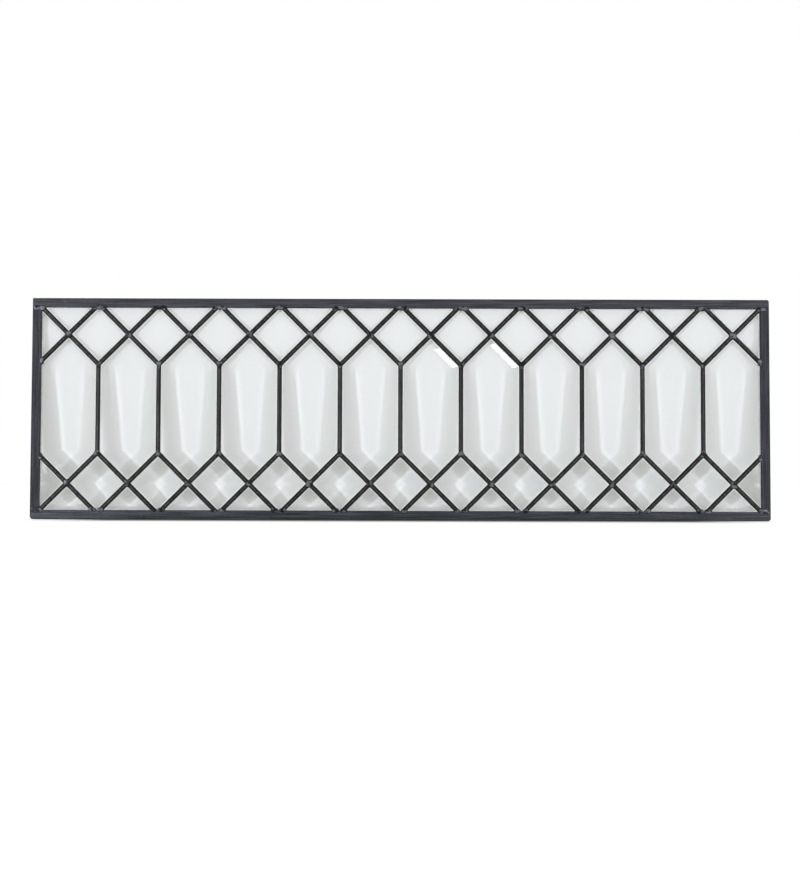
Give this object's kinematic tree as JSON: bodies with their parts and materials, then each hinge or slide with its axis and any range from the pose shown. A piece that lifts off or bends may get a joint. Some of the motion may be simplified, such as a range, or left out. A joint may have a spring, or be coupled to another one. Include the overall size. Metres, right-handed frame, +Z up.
{
  "type": "leaded bevelled glass transom window",
  "caption": "Long low window panel of clear bevelled glass plates held in dark lead cames: tall six-sided panes between two rows of squares set on their points, edged with triangles.",
  "frame": {"origin": "on the flat back face of the bottom border came, at the middle of its length and of its width", "axes": "+X along the panel's length to the right as seen from the front, +Y out of the back face, +Z up"},
  "size_m": [1.016, 0.0071, 0.305],
  "materials": {
    "border_lead": "flat lead came with a dark blue-grey patina, satin, lighter where it has been rubbed",
    "lattice_lead": "round lead came with a dark patina, satin, tinned lighter beside the joints",
    "solder": "tin and lead solder, low rounded pools, silvery grey under a worn dark patina",
    "bevel_glass": "clear plate glass, polished, with ground and polished bevels round the front",
    "glazing_cement": "chalk and linseed oil cement, matt, off-white, in thin beads between the lead and the glass"
  },
  "bodies": {
    "root": {"border_came_top": "border_lead", "border_came_bottom": "border_lead", "border_came_left": "border_lead", "border_came_right": "border_lead", "vertical_came_01": "lattice_lead", "vertical_came_02": "lattice_lead", "vertical_came_03": "lattice_lead", "vertical_came_04": "lattice_lead", "vertical_came_05": "lattice_lead", "vertical_came_06": "lattice_lead", "vertical_came_07": "lattice_lead", "vertical_came_08": "lattice_lead", "vertical_came_09": "lattice_lead", "vertical_came_10": "lattice_lead", "vertical_came_11": "lattice_lead", "upper_through_cames": "lattice_lead", "upper_outer_cames": "lattice_lead", "upper_inner_cames": "lattice_lead", "lower_through_cames": "lattice_lead", "lower_outer_cames": "lattice_lead", "lower_inner_cames": "lattice_lead", "corner_solder": "solder", "tall_bevel_01": "bevel_glass", "tall_bevel_02": "bevel_glass", "tall_bevel_03": "bevel_glass", "tall_bevel_04": "bevel_glass", "tall_bevel_05": "bevel_glass", "tall_bevel_06": "bevel_glass", "tall_bevel_07": "bevel_glass", "tall_bevel_08": "bevel_glass", "tall_bevel_09": "bevel_glass", "tall_bevel_10": "bevel_glass", "tall_bevel_11": "bevel_glass", "tall_bevel_12": "bevel_glass", "upper_square_bevels": "bevel_glass", "lower_square_bevels": "bevel_glass", "upper_edge_bevels": "bevel_glass", "lower_edge_bevels": "bevel_glass", "left_edge_bevels": "bevel_glass", "right_edge_bevels": "bevel_glass"}
  },
  "joints": []
}
